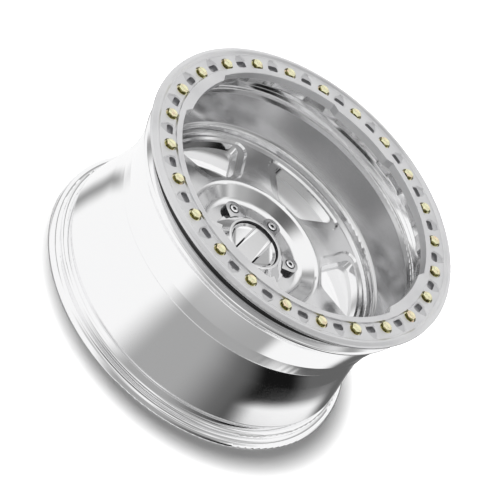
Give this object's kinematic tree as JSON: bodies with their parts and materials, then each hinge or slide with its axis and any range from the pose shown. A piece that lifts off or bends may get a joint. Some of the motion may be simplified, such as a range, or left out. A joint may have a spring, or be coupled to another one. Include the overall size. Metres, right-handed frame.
{
  "type": "car wheel",
  "caption": "Bare polished alloy car wheel with a bolted bead-clamp ring, stepped windows and a screwed centre cap, lying on its rear flange.",
  "frame": {"origin": "on the wheel's axis, in the plane of the rear flange's rear face, on which the wheel lies", "axes": "+Z along the wheel's axis from the back to the face; +X along a spoke of the disc; the valve hole is on -X"},
  "size_m": [0.473, 0.473, 0.2593],
  "materials": {
    "polished_alloy": "mirror polished",
    "satin_alloy": "satin, machined",
    "yellow_zinc": "yellow zinc plate",
    "cap_chrome": "chrome plate",
    "screw_steel": "bright zinc plate"
  },
  "bodies": {
    "root": {"wheel_body": "polished_alloy", "beadlock_ring": "satin_alloy", "ring_bolt_01": "yellow_zinc", "ring_bolt_02": "yellow_zinc", "ring_bolt_03": "yellow_zinc", "ring_bolt_04": "yellow_zinc", "ring_bolt_05": "yellow_zinc", "ring_bolt_06": "yellow_zinc", "ring_bolt_07": "yellow_zinc", "ring_bolt_08": "yellow_zinc", "ring_bolt_09": "yellow_zinc", "ring_bolt_10": "yellow_zinc", "ring_bolt_11": "yellow_zinc", "ring_bolt_12": "yellow_zinc", "ring_bolt_13": "yellow_zinc", "ring_bolt_14": "yellow_zinc", "ring_bolt_15": "yellow_zinc", "ring_bolt_16": "yellow_zinc", "ring_bolt_17": "yellow_zinc", "ring_bolt_18": "yellow_zinc", "ring_bolt_19": "yellow_zinc", "ring_bolt_20": "yellow_zinc", "ring_bolt_21": "yellow_zinc", "ring_bolt_22": "yellow_zinc", "ring_bolt_23": "yellow_zinc", "ring_bolt_24": "yellow_zinc", "bolt_washers": "yellow_zinc", "centre_cap": "cap_chrome", "cap_disc": "cap_chrome", "cap_screw_1": "screw_steel", "cap_screw_2": "screw_steel", "cap_screw_3": "screw_steel", "cap_screw_4": "screw_steel", "cap_screw_5": "screw_steel", "cap_screw_6": "screw_steel"}
  },
  "joints": []
}
